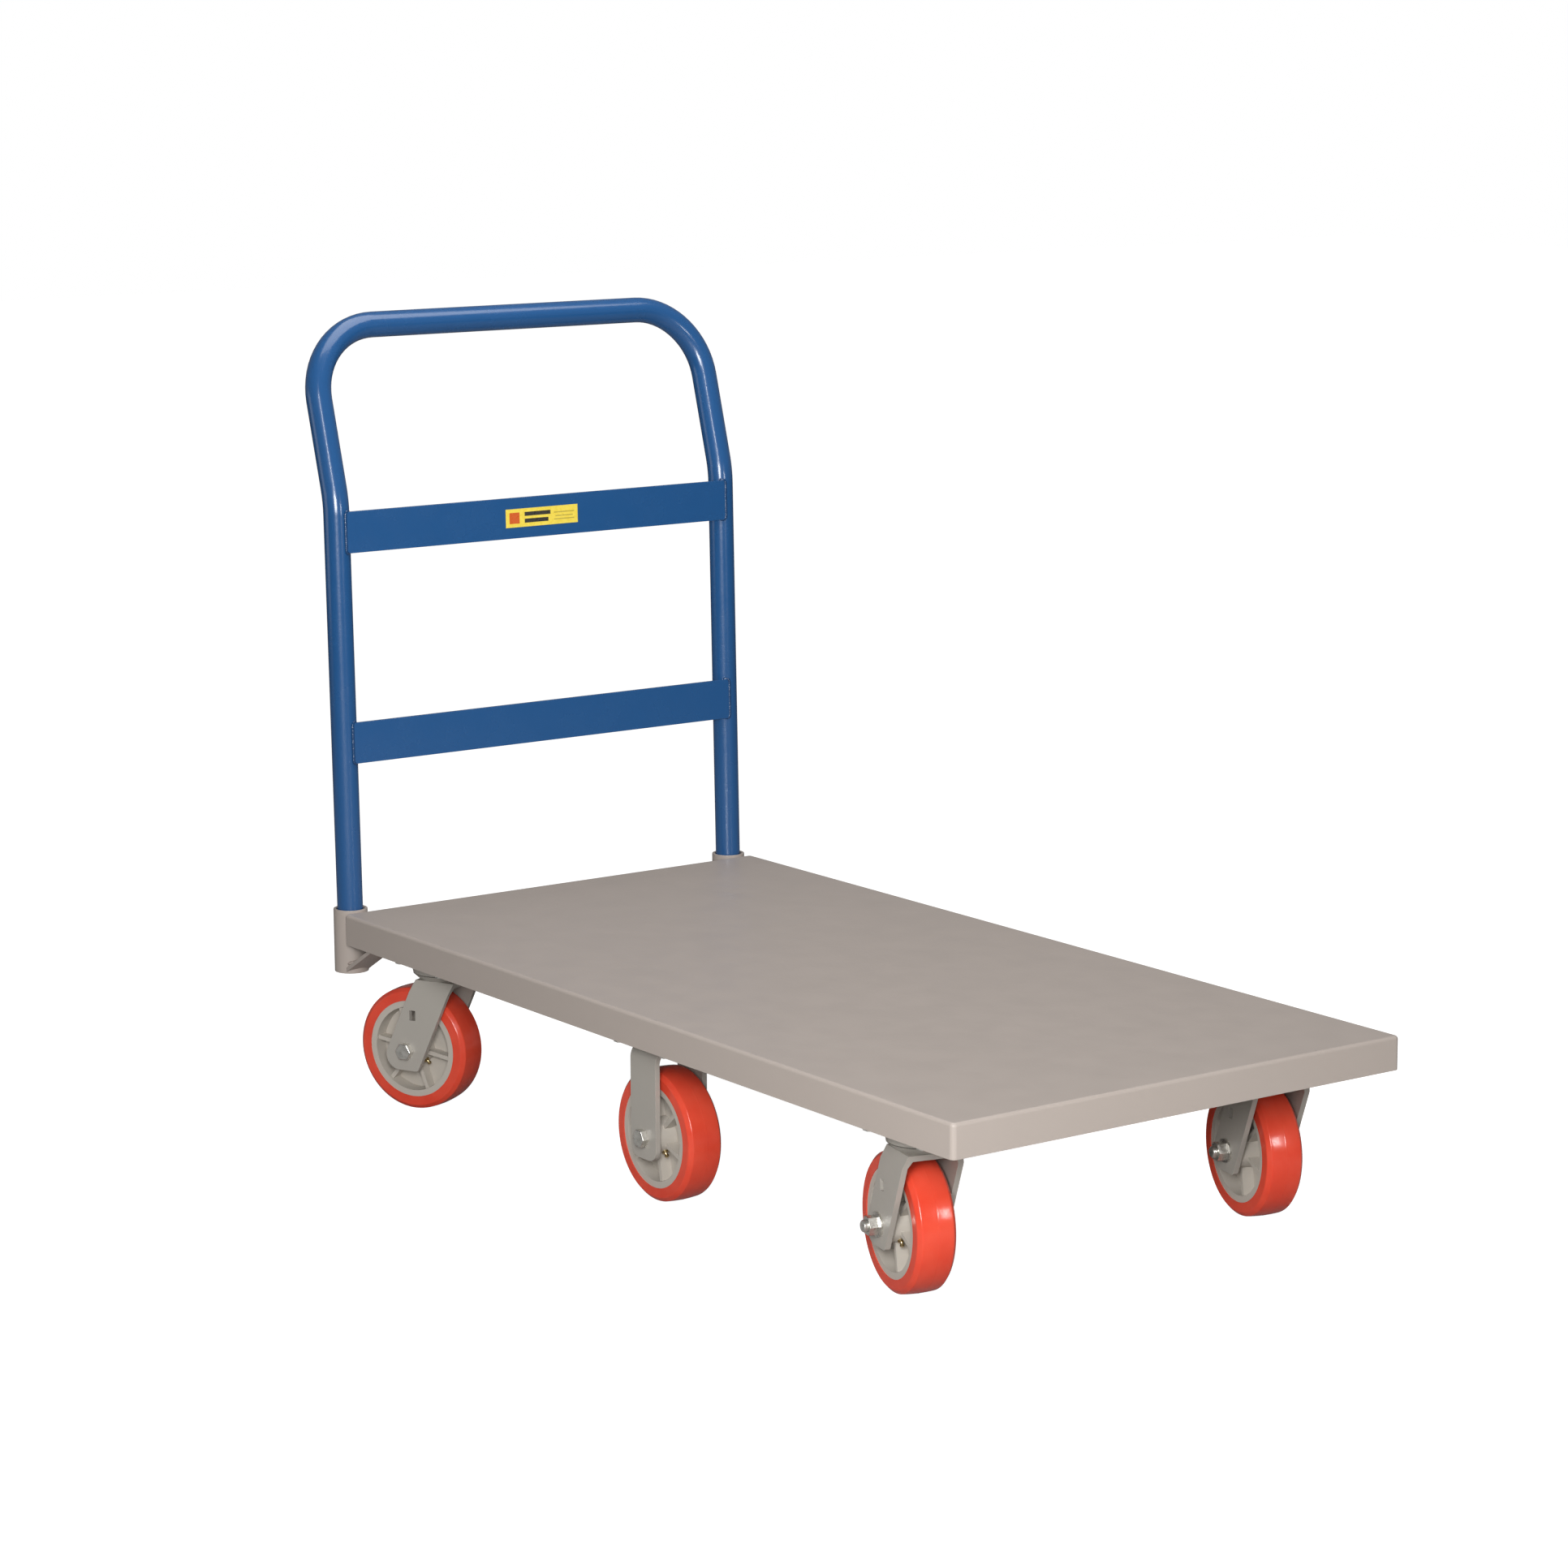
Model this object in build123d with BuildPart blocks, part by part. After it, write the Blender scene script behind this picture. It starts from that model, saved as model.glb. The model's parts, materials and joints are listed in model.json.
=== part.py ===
"""Six-wheel flatbed platform truck, in millimetres.

+X is the front, +Y the left side, +Z up. The floor is z = 0, and the origin lies under the
middle of the whole truck. The deck is a folded steel pan on three cross channels. Four
swivel casters stand at the corners, two rigid casters stand at the middle, and a tube handle
drops into two pipe sockets at the rear.
"""

import os
from math import cos, hypot, radians, sin

from build123d import *

# Deck pan
deck_length = 1219.2
deck_width = 609.6
lip_depth = 38.1
deck_sheet = 2.7
deck_bend = 4.0
deck_corner = 6.0

# Cross channels under the deck, open side up
channel_width = 127.0
channel_sheet = 3.0
channel_bend = 5.0
channel_end_gap = 1.6

# Casters: the whole caster, its wheel, and where it stands
wheel_diameter = 152.4
head_height = 38.1
tread_width = 44.45
swivel_lead = 36.0
rear_inset = 130.0
front_inset = 133.5
rigid_ahead = 6.0
side_inset = 65.0
rear_heading = 26.0
front_heading = -13.0

# Caster top plates and their bolts
plate_length = 114.3
plate_width = 101.6
plate_thickness = 6.35
plate_corner = 8.0
bolt_pitch_length = 92.1
bolt_pitch_width = 66.7
bolt_diameter = 9.5
bolt_hole_clearance = 1.0
bolt_head_height = 6.0
bolt_head_margin = 2.4
nut_height = 8.0
thread_past_nut = 2.0

# Swivel head: upper race under the plate, ball ring, lower race on the yoke, kingpin
race_gap = 0.8
upper_race_depth = 10.8
race_rim_radius = 38.6
race_spread = 2.4
crown_depth = 7.0
crown_waist_radius = 31.0
ball_diameter = 8.0
ball_ring_radius = 27.0
ball_count = 16
groove_clearance = 0.15
kingpin_diameter = 12.7
kingpin_clearance = 0.3
kingpin_head_radius = 11.0
kingpin_sink_depth = 4.0
kingpin_foot_radius = 10.0
kingpin_foot_height = 4.5
kingpin_foot_chamfer = 2.0

# Yokes
leg_thickness = 6.35
side_play = 0.8
leg_drop = 24.5
leg_top_ahead = 4.3
leg_heel_radius = 18.0
leg_toe_radius = 5.0
swivel_leg_width = 50.0
swivel_base_thickness = 7.0
shoulder_drop = 15.0
shoulder_inset = 4.3
leg_slot_width = 8.5
leg_slot_height = 12.5
leg_slot_behind = 26.0
leg_slot_rise = 45.0
rigid_leg_width = 50.0
rigid_leg_corner = 15.0
rigid_bend = 20.0

# Axles
axle_diameter = 12.7
axle_hole_clearance = 0.2
axle_head_margin = 3.15
axle_head_height = 8.0
axle_head_chamfer = 0.8
axle_end_chamfer = 1.0
axle_nut_height = 11.0
axle_washer_margin = 7.15
axle_washer_thickness = 2.4
axle_thread_past_nut = 5.0
sleeve_wall = 3.175
sleeve_bore_clearance = 0.1

# Wheels
hub_proud = 5.575
hub_boss_wall = 4.9
bearing_wall = 5.525
bearing_recess = 3.8
bearing_clearance = 0.05
web_thickness = 8.0
rim_thickness = 7.5
rim_draft = 1.5
tread_thickness = 16.7
rim_step = 1.0
rib_count = 6
rib_thickness = 5.0
rib_setback = 4.5
rib_angles = {"rear": -9.0, "middle": -20.0, "front": -20.0}
tread_shoulder_rise = 5.5
tread_shoulder_run = 4.3
tread_edge_radius = 2.0

# Handle sockets, their stop discs and their braces
socket_wall = 3.555
socket_play = 1.65
socket_rise = 2.0
socket_length = 79.0
stop_height = 3.0
stop_thickness = 4.8
brace_width = 32.0
brace_thickness = 4.8
brace_foot_height = 9.0
brace_head_height = 8.0

# Handle
tube_diameter = 31.75
tube_wall = 2.1
handle_lean = 1.2
leg_end_gap = 0.8
bend_height = 505.0
bend_angle = 15.0
bend_radius = 130.0
handle_top_length = 215.0
corner_radius = 90.0
rail_height = 50.8
rail_thickness = 4.8
rail_face_proud = 0.6
rail_end_inset = 4.0
lower_rail_height = 183.0
upper_rail_height = 442.0
label_length = 106.0
label_height = 23.0
label_thickness = 0.3

# Diameters, heights and places that follow from the sizes above
caster_height = wheel_diameter + head_height
bolt_head_flats = bolt_diameter + 2 * bolt_head_margin
axle_head_flats = axle_diameter + 2 * axle_head_margin
axle_washer_radius = axle_diameter / 2 + axle_washer_margin
sleeve_diameter = axle_diameter + 2 * sleeve_wall
bearing_bore = sleeve_diameter + 2 * bearing_clearance
bearing_diameter = bearing_bore + 2 * bearing_wall
hub_boss_radius = bearing_diameter / 2 + hub_boss_wall
hub_length = tread_width + 2 * hub_proud
bearing_length = hub_length - 2 * bearing_recess
socket_bore = tube_diameter + 2 * socket_play
socket_diameter = socket_bore + 2 * socket_wall
deck_top = caster_height + lip_depth
deck_underside = deck_top - deck_sheet
axle_height = wheel_diameter / 2
plate_bottom = caster_height - plate_thickness
race_bottom = plate_bottom - upper_race_depth
crown_top = race_bottom - race_gap
crown_waist = crown_top - crown_depth
yoke_underside = crown_waist - swivel_base_thickness
ball_height = race_bottom - race_gap / 2
leg_inner = hub_length / 2 + side_play
leg_outer = leg_inner + leg_thickness
leg_foot = axle_height - leg_drop
rim_outer_radius = axle_height - tread_thickness
rim_inner_radius = rim_outer_radius - rim_thickness
socket_top = deck_top + socket_rise
socket_bottom = socket_top - socket_length
stop_top = socket_bottom + stop_height + stop_thickness
socket_middle = (socket_top + stop_top) / 2
lean_and_bend = radians(handle_lean + bend_angle)
bend_above_middle = bend_height + deck_top - socket_middle
handle_reach = (
    socket_diameter / 2
    + bend_above_middle * sin(radians(handle_lean))
    + handle_top_length * sin(lean_and_bend)
    + tube_diameter / 2
)
deck_rear = (handle_reach - deck_length) / 2
deck_front = deck_rear + deck_length
deck_middle = deck_rear + deck_length / 2
side_y = deck_width / 2 - side_inset
rear_x = deck_rear + rear_inset
rigid_x = deck_middle + rigid_ahead
front_x = deck_front - front_inset
socket_x = deck_rear - socket_diameter / 2
socket_y = deck_width / 2 - socket_diameter / 2
up = (0, 0, 1)

# Name, x, y, heading in degrees, and the side that its axle bolt's head is on
swivel_casters = (
    ("rear_right", rear_x, -side_y, rear_heading, -1),
    ("rear_left", rear_x, side_y, -rear_heading, 1),
    ("front_right", front_x, -side_y, front_heading, 1),
    ("front_left", front_x, side_y, front_heading, 1),
)
rigid_casters = (
    ("middle_right", rigid_x, -side_y, 0.0, -1),
    ("middle_left", rigid_x, side_y, 0.0, 1),
)
all_casters = swivel_casters + rigid_casters
channel_rows = (("rear", rear_x), ("middle", rigid_x), ("front", front_x))
sides = (("right", -1), ("left", 1))


def save(builder, node):
    """Label a finished sub-part and write it under its node's name."""
    builder.part.label = node
    export_step(builder.part, f"parts/{node}.step")
    print(node, len(builder.part.solids()), round(builder.part.volume))


def floor_plane(x, y, heading):
    """A level plane at the floor under a caster, with its x axis along the heading."""
    turn = radians(heading)
    return Plane(origin=(x, y, 0), x_dir=(cos(turn), sin(turn), 0), z_dir=up)


def axle_plane(x, y, heading, lead):
    """A level plane through the wheel's centre. Its y axis is the axle."""
    ground = floor_plane(x, y, heading)
    centre = ground.from_local_coords(Vector(-lead, 0, axle_height))
    return Plane(origin=centre, x_dir=ground.x_dir, z_dir=up)


def side_plane(level):
    """The wheel's middle plane. Its x axis points ahead and its y axis points up."""
    return Plane(origin=level.origin, x_dir=level.x_dir, z_dir=-level.y_dir)


def lead_of(caster):
    """How far a caster's wheel trails behind its own middle."""
    return swivel_lead if caster in swivel_casters else 0.0


os.makedirs("parts", exist_ok=True)

# Deck pan: one folded sheet, with its corners welded and ground round
with BuildPart() as deck_pan:
    with BuildSketch(Plane.XY.offset(caster_height)):
        with Locations((deck_middle, 0)):
            RectangleRounded(deck_length, deck_width, deck_corner)
    extrude(amount=lip_depth)
    fillet(deck_pan.faces().sort_by(Axis.Z)[-1].edges(), radius=deck_bend)
with BuildPart() as deck_hollow:
    with BuildSketch(Plane.XY.offset(caster_height)):
        with Locations((deck_middle, 0)):
            RectangleRounded(
                deck_length - 2 * deck_sheet, deck_width - 2 * deck_sheet, deck_corner - deck_sheet
            )
    extrude(amount=lip_depth - deck_sheet)
    fillet(deck_hollow.faces().sort_by(Axis.Z)[-1].edges(), radius=deck_bend - deck_sheet)
with deck_pan:
    add(deck_hollow.part, mode=Mode.SUBTRACT)
save(deck_pan, "deck_pan")

# Cross channels: the web is level with the lip's lower edge, and the flanges meet the deck
channel_depth = deck_underside - caster_height
channel_length = deck_width - 2 * deck_sheet - 2 * channel_end_gap
for row, row_x in channel_rows:
    with BuildPart() as cross_channel:
        with BuildSketch(Plane.XZ) as section:
            with Locations((row_x, caster_height + channel_depth / 2)):
                Rectangle(channel_width, channel_depth)
            fillet(section.vertices().group_by(Axis.Y)[0], radius=channel_bend)
            with BuildSketch(Plane.XZ, mode=Mode.PRIVATE) as inside:
                with Locations((row_x, caster_height + channel_sheet + channel_depth / 2)):
                    Rectangle(channel_width - 2 * channel_sheet, channel_depth)
                fillet(inside.vertices().group_by(Axis.Y)[0], radius=channel_bend - channel_sheet)
            add(inside.sketch_local, mode=Mode.SUBTRACT)
        extrude(amount=channel_length / 2, both=True)
        with BuildSketch(Plane.XY.offset(caster_height)):
            with Locations((row_x, -side_y), (row_x, side_y)):
                with GridLocations(bolt_pitch_length, bolt_pitch_width, 2, 2):
                    Circle((bolt_diameter + bolt_hole_clearance) / 2)
        extrude(amount=channel_sheet, mode=Mode.SUBTRACT)
    save(cross_channel, f"{row}_cross_channel")

# Bolts that hold the caster plates, heads below, and the nuts inside the channels
bolt_top = caster_height + channel_sheet + nut_height + thread_past_nut
bolt_places = [
    (x + across * bolt_pitch_length / 2, y + along * bolt_pitch_width / 2)
    for _, x, y, _, _ in all_casters
    for across in (-1, 1)
    for along in (-1, 1)
]
with BuildPart() as caster_bolts:
    with BuildSketch(Plane.XY.offset(plate_bottom - bolt_head_height)):
        with Locations(*bolt_places):
            RegularPolygon(bolt_head_flats / 2, 6, major_radius=False)
    extrude(amount=bolt_head_height)
    with BuildSketch(Plane.XY.offset(plate_bottom)):
        with Locations(*bolt_places):
            Circle(bolt_diameter / 2)
    extrude(amount=bolt_top - plate_bottom)
save(caster_bolts, "caster_bolts")

with BuildPart() as caster_nuts:
    with BuildSketch(Plane.XY.offset(caster_height + channel_sheet)):
        with Locations(*bolt_places):
            RegularPolygon(bolt_head_flats / 2, 6, major_radius=False)
            Circle(bolt_diameter / 2, mode=Mode.SUBTRACT)
    extrude(amount=nut_height)
save(caster_nuts, "caster_nuts")

# Swivel heads: plate and upper race in one forging
groove_radius = ball_diameter / 2 + groove_clearance
for name, x, y, heading, head_side in swivel_casters:
    with BuildPart() as swivel_plate:
        with BuildSketch(Plane.XY.offset(plate_bottom)):
            with Locations((x, y)):
                RectangleRounded(plate_length, plate_width, plate_corner)
                with GridLocations(bolt_pitch_length, bolt_pitch_width, 2, 2):
                    Circle((bolt_diameter + bolt_hole_clearance) / 2, mode=Mode.SUBTRACT)
        extrude(amount=plate_thickness)
        with BuildSketch(Plane(origin=(x, y, 0), x_dir=(1, 0, 0), z_dir=(0, -1, 0))):
            with BuildLine():
                Polyline(
                    (0, race_bottom),
                    (race_rim_radius, race_bottom),
                    (race_rim_radius + race_spread, plate_bottom),
                    (0, plate_bottom),
                    close=True,
                )
            make_face()
        revolve(axis=Axis((x, y, 0), up))
        with BuildSketch(Plane(origin=(x, y, 0), x_dir=(1, 0, 0), z_dir=(0, -1, 0))):
            with Locations((ball_ring_radius, ball_height)):
                Circle(groove_radius)
            with BuildLine():
                Polyline(
                    (0, race_bottom),
                    (kingpin_diameter / 2, race_bottom),
                    (kingpin_diameter / 2, caster_height - kingpin_sink_depth),
                    (kingpin_head_radius, caster_height),
                    (0, caster_height),
                    close=True,
                )
            make_face()
        revolve(axis=Axis((x, y, 0), up), mode=Mode.SUBTRACT)
    save(swivel_plate, f"swivel_plate_{name}")

# Ball rings
with BuildPart() as race_balls:
    for name, x, y, heading, head_side in swivel_casters:
        with Locations((x, y, ball_height)):
            with PolarLocations(ball_ring_radius, ball_count):
                Sphere(ball_diameter / 2)
save(race_balls, "race_balls")

# Kingpins: countersunk in the plate, with a riveted foot under the yoke
foot_top = yoke_underside - kingpin_clearance
with BuildPart() as kingpins:
    for name, x, y, heading, head_side in swivel_casters:
        with BuildSketch(Plane(origin=(x, y, 0), x_dir=(1, 0, 0), z_dir=(0, -1, 0))):
            with BuildLine():
                Polyline(
                    (0, foot_top - kingpin_foot_height),
                    (kingpin_foot_radius - kingpin_foot_chamfer, foot_top - kingpin_foot_height),
                    (kingpin_foot_radius, foot_top - kingpin_foot_height + kingpin_foot_chamfer),
                    (kingpin_foot_radius, foot_top),
                    (kingpin_diameter / 2, foot_top),
                    (kingpin_diameter / 2, caster_height - kingpin_sink_depth),
                    (kingpin_head_radius, caster_height),
                    (0, caster_height),
                    close=True,
                )
            make_face()
        revolve(axis=Axis((x, y, 0), up))
save(kingpins, "kingpins")

# Swivel yokes: two slanting legs from a shouldered head, and a flared crown on top
above_axle = crown_waist - axle_height
leg_run = (swivel_lead + leg_top_ahead) / above_axle
leg_half_level = swivel_leg_width / 2 * hypot(1, leg_run)
below_axle = axle_height - leg_foot
for name, x, y, heading, head_side in swivel_casters:
    level = axle_plane(x, y, heading, swivel_lead)
    side = side_plane(level)
    across = Plane(origin=level.origin, x_dir=level.y_dir, z_dir=level.x_dir)
    swivel_axis = Axis((x, y, 0), up)
    with BuildPart() as swivel_yoke:
        with BuildSketch(across):
            with BuildLine():
                Polyline(
                    (-leg_outer, -below_axle),
                    (-leg_outer, above_axle - shoulder_drop),
                    (-leg_outer + shoulder_inset, above_axle),
                    (leg_outer - shoulder_inset, above_axle),
                    (leg_outer, above_axle - shoulder_drop),
                    (leg_outer, -below_axle),
                    close=True,
                )
            make_face()
            with BuildLine():
                Polyline(
                    (-leg_inner, -below_axle),
                    (-leg_inner, above_axle - shoulder_drop),
                    (-leg_inner + shoulder_inset, above_axle - swivel_base_thickness),
                    (leg_inner - shoulder_inset, above_axle - swivel_base_thickness),
                    (leg_inner, above_axle - shoulder_drop),
                    (leg_inner, -below_axle),
                    close=True,
                )
            make_face(mode=Mode.SUBTRACT)
        extrude(amount=wheel_diameter, both=True)
        with BuildSketch(side) as leg_outline:
            with BuildLine():
                Polyline(
                    (-leg_half_level - leg_run * below_axle, -below_axle),
                    (leg_half_level - leg_run * below_axle, -below_axle),
                    (leg_half_level + leg_run * above_axle, above_axle),
                    (-leg_half_level + leg_run * above_axle, above_axle),
                    close=True,
                )
            make_face()
            foot_corners = leg_outline.vertices().group_by(Axis.Y)[0].sort_by(Axis.X)
            fillet(foot_corners[0], radius=leg_heel_radius)
            leg_toe = leg_outline.vertices().group_by(Axis.Y)[0].sort_by(Axis.X)[-1]
            fillet(leg_toe, radius=leg_toe_radius)
        extrude(amount=wheel_diameter, both=True, mode=Mode.INTERSECT)
        with BuildSketch(Plane(origin=(x, y, 0), x_dir=(1, 0, 0), z_dir=(0, -1, 0))):
            with BuildLine():
                Polyline(
                    (0, crown_waist - swivel_base_thickness),
                    (crown_waist_radius - shoulder_inset, crown_waist - swivel_base_thickness),
                    (crown_waist_radius, crown_waist),
                    (race_rim_radius, crown_top),
                    (0, crown_top),
                    close=True,
                )
            make_face()
        revolve(axis=swivel_axis)
        with BuildSketch(Plane(origin=(x, y, 0), x_dir=(1, 0, 0), z_dir=(0, -1, 0))):
            with Locations((ball_ring_radius, ball_height)):
                Circle(groove_radius)
        revolve(axis=swivel_axis, mode=Mode.SUBTRACT)
        with BuildSketch(Plane(origin=(x, y, yoke_underside), z_dir=up)):
            Circle(kingpin_diameter / 2 + kingpin_clearance)
        extrude(amount=crown_top - yoke_underside, mode=Mode.SUBTRACT)
        with BuildSketch(side):
            Circle((axle_diameter + axle_hole_clearance) / 2)
            with Locations((swivel_lead - leg_slot_behind, leg_slot_rise)):
                Rectangle(leg_slot_width, leg_slot_height)
        extrude(amount=leg_outer, both=True, mode=Mode.SUBTRACT)
    save(swivel_yoke, f"swivel_yoke_{name}")

# Rigid yokes: a U bent from flat bar, welded under its top plate
for name, x, y, heading, head_side in rigid_casters:
    level = axle_plane(x, y, heading, 0.0)
    side = side_plane(level)
    with BuildPart() as rigid_yoke:
        with BuildSketch(Plane(origin=(x, y, plate_bottom), z_dir=up)):
            RectangleRounded(plate_length, plate_width, plate_corner)
            with GridLocations(bolt_pitch_length, bolt_pitch_width, 2, 2):
                Circle((bolt_diameter + bolt_hole_clearance) / 2, mode=Mode.SUBTRACT)
        extrude(amount=plate_thickness)
        across_yoke = Plane(origin=(x, y, 0), x_dir=(0, 1, 0), z_dir=(1, 0, 0))
        with BuildSketch(across_yoke, mode=Mode.PRIVATE) as bar_inside:
            with Locations((0, (leg_foot + plate_bottom) / 2 - leg_thickness)):
                Rectangle(2 * leg_inner, plate_bottom - leg_foot)
            fillet(bar_inside.vertices().group_by(Axis.Y)[-1], radius=rigid_bend - leg_thickness)
        with BuildSketch(across_yoke) as bar:
            with Locations((0, (leg_foot + plate_bottom) / 2)):
                Rectangle(2 * leg_outer, plate_bottom - leg_foot)
            fillet(bar.vertices().group_by(Axis.Y)[-1], radius=rigid_bend)
            add(bar_inside.sketch_local, mode=Mode.SUBTRACT)
        extrude(amount=rigid_leg_width / 2, both=True)
        foot_edges = rigid_yoke.edges().filter_by(Axis.Y).group_by(Axis.Z)[0]
        fillet(foot_edges, radius=rigid_leg_corner)
        with BuildSketch(side):
            Circle((axle_diameter + axle_hole_clearance) / 2)
        extrude(amount=leg_outer, both=True, mode=Mode.SUBTRACT)
    save(rigid_yoke, f"rigid_yoke_{name.split('_')[1]}")

# Axle bolts with their washers and nuts, and the sleeves that the wheels turn on
bolt_reach = leg_outer + axle_washer_thickness + axle_nut_height + axle_thread_past_nut
for caster in all_casters:
    name, x, y, heading, head_side = caster
    level = axle_plane(x, y, heading, lead_of(caster))
    out = level.y_dir * head_side
    head_seat = Plane(origin=level.origin + out * leg_outer, x_dir=level.x_dir, z_dir=out)
    washer_seat = Plane(origin=level.origin - out * leg_outer, x_dir=level.x_dir, z_dir=-out)
    with BuildPart() as axle_bolt:
        with BuildSketch(head_seat):
            RegularPolygon(axle_head_flats / 2, 6, major_radius=False)
        extrude(amount=axle_head_height)
        chamfer(axle_bolt.faces().sort_by(Axis(level.origin, out))[-1].edges(), length=axle_head_chamfer)
        with BuildSketch(head_seat):
            Circle(axle_diameter / 2)
        extrude(amount=-(leg_outer + bolt_reach))
        chamfer(axle_bolt.faces().sort_by(Axis(level.origin, out))[0].edges(), length=axle_end_chamfer)
        with BuildSketch(washer_seat):
            Circle(axle_washer_radius)
            Circle((axle_diameter + axle_hole_clearance) / 2, mode=Mode.SUBTRACT)
        extrude(amount=axle_washer_thickness)
        with BuildSketch(washer_seat.offset(axle_washer_thickness)):
            RegularPolygon(axle_head_flats / 2, 6, major_radius=False)
            Circle((axle_diameter + axle_hole_clearance) / 2, mode=Mode.SUBTRACT)
        extrude(amount=axle_nut_height)
    save(axle_bolt, f"axle_bolt_{name}")
    with BuildPart() as axle_sleeve:
        with BuildSketch(side_plane(level)):
            Circle(sleeve_diameter / 2)
            Circle((axle_diameter + sleeve_bore_clearance) / 2, mode=Mode.SUBTRACT)
        extrude(amount=leg_inner, both=True)
    save(axle_sleeve, f"axle_sleeve_{name}")

# Wheels: cast tread on a ribbed core, with a caged roller bearing in the bore
rim_face = tread_width / 2 - rim_step
rib_top = tread_width / 2 - rib_setback
shoulder_radius = axle_height - tread_shoulder_rise
crown_edge = tread_width / 2 - tread_shoulder_run
rib_middle = (hub_boss_radius + rim_inner_radius) / 2
for caster in all_casters:
    name, x, y, heading, head_side = caster
    level = axle_plane(x, y, heading, lead_of(caster))
    side = side_plane(level)
    wheel_axis = Axis(level.origin, level.y_dir)
    with BuildPart() as wheel_core:
        with BuildSketch(level):
            with BuildLine():
                Polyline(
                    (bearing_diameter / 2, -hub_length / 2),
                    (hub_boss_radius, -hub_length / 2),
                    (hub_boss_radius + rim_draft, -web_thickness / 2),
                    (rim_inner_radius - rim_draft, -web_thickness / 2),
                    (rim_inner_radius, -rim_face),
                    (rim_outer_radius, -rim_face),
                    (rim_outer_radius, rim_face),
                    (rim_inner_radius, rim_face),
                    (rim_inner_radius - rim_draft, web_thickness / 2),
                    (hub_boss_radius + rim_draft, web_thickness / 2),
                    (hub_boss_radius, hub_length / 2),
                    (bearing_diameter / 2, hub_length / 2),
                    close=True,
                )
            make_face()
        revolve(axis=wheel_axis)
        with BuildSketch(side):
            with PolarLocations(rib_middle, rib_count, start_angle=rib_angles[name.split("_")[0]]):
                Rectangle(rim_inner_radius - hub_boss_radius + 2 * rim_draft, rib_thickness)
        extrude(amount=rib_top, both=True)
    save(wheel_core, f"wheel_core_{name}")
    with BuildPart() as wheel_tread:
        with BuildSketch(level) as tread_section:
            with BuildLine():
                Polyline(
                    (rim_outer_radius, -tread_width / 2),
                    (shoulder_radius, -tread_width / 2),
                    (axle_height, -crown_edge),
                    (axle_height, crown_edge),
                    (shoulder_radius, tread_width / 2),
                    (rim_outer_radius, tread_width / 2),
                    close=True,
                )
            make_face()
            tread_corners = tread_section.vertices().filter_by(lambda v: v.X > rim_outer_radius + 1)
            fillet(tread_corners, radius=tread_edge_radius)
        revolve(axis=wheel_axis)
    save(wheel_tread, f"wheel_tread_{name}")
    with BuildPart() as wheel_bearing:
        with BuildSketch(side):
            Circle(bearing_diameter / 2)
            Circle(bearing_bore / 2, mode=Mode.SUBTRACT)
        extrude(amount=bearing_length / 2, both=True)
    save(wheel_bearing, f"roller_bearing_{name}")

# Handle sockets: pipes that stand against the rear lip, flush with the deck's sides
for hand, sign in sides:
    with BuildPart() as handle_socket:
        with BuildSketch(Plane(origin=(socket_x, sign * socket_y, socket_bottom), z_dir=up)):
            Circle(socket_diameter / 2)
            Circle(socket_bore / 2, mode=Mode.SUBTRACT)
        extrude(amount=socket_length)
    save(handle_socket, f"handle_socket_{hand}")

with BuildPart() as socket_stops:
    with BuildSketch(Plane.XY.offset(socket_bottom + stop_height)):
        with Locations((socket_x, -socket_y), (socket_x, socket_y)):
            Circle(socket_bore / 2)
    extrude(amount=stop_thickness)
save(socket_stops, "socket_stops")

# Braces: flat bar from the foot of each socket up to the rear channel
brace_far_x = rear_x - channel_width / 2
brace_near_z = socket_bottom + brace_foot_height
brace_far_z = caster_height + brace_head_height
brace_run = brace_far_x - deck_rear
brace_slope = (brace_far_z - brace_near_z) / brace_run
brace_half_z = brace_thickness / 2 * hypot(1, brace_slope)
brace_start_x = socket_x
brace_start_z = brace_near_z - brace_slope * (deck_rear - socket_x)
for hand, sign in sides:
    with BuildPart() as socket_brace:
        with BuildSketch(Plane(origin=(0, sign * socket_y, 0), x_dir=(1, 0, 0), z_dir=(0, -1, 0))):
            with BuildLine():
                Polyline(
                    (brace_start_x, brace_start_z - brace_half_z),
                    (brace_far_x, brace_far_z - brace_half_z),
                    (brace_far_x, brace_far_z + brace_half_z),
                    (brace_start_x, brace_start_z + brace_half_z),
                    close=True,
                )
            make_face()
        extrude(amount=brace_width / 2, both=True)
        with BuildSketch(Plane(origin=(socket_x, sign * socket_y, 0), z_dir=up)):
            Circle(socket_diameter / 2)
        extrude(amount=deck_top, mode=Mode.SUBTRACT)
    save(socket_brace, f"socket_brace_{hand}")

# Handle: one bent tube, two flat rails and a label, all in the handle's own leaning frame
lean = radians(handle_lean)
handle_frame = Plane(
    origin=(socket_x, 0, socket_middle), x_dir=(cos(lean), 0, sin(lean)), z_dir=(-sin(lean), 0, cos(lean))
)
deck_in_frame = deck_top - socket_middle
leg_end = stop_top - socket_middle + leg_end_gap
turn = radians(bend_angle)
top_x = -handle_top_length * sin(turn)
top_z = bend_above_middle + handle_top_length * cos(turn)
corners = [
    (0, -socket_y, leg_end),
    (0, -socket_y, bend_above_middle),
    (top_x, -socket_y, top_z),
    (top_x, socket_y, top_z),
    (0, socket_y, bend_above_middle),
    (0, socket_y, leg_end),
]
tube_path = [handle_frame.from_local_coords(Vector(*corner)) for corner in corners]
tube_radii = [bend_radius, corner_radius, corner_radius, bend_radius]
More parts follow.
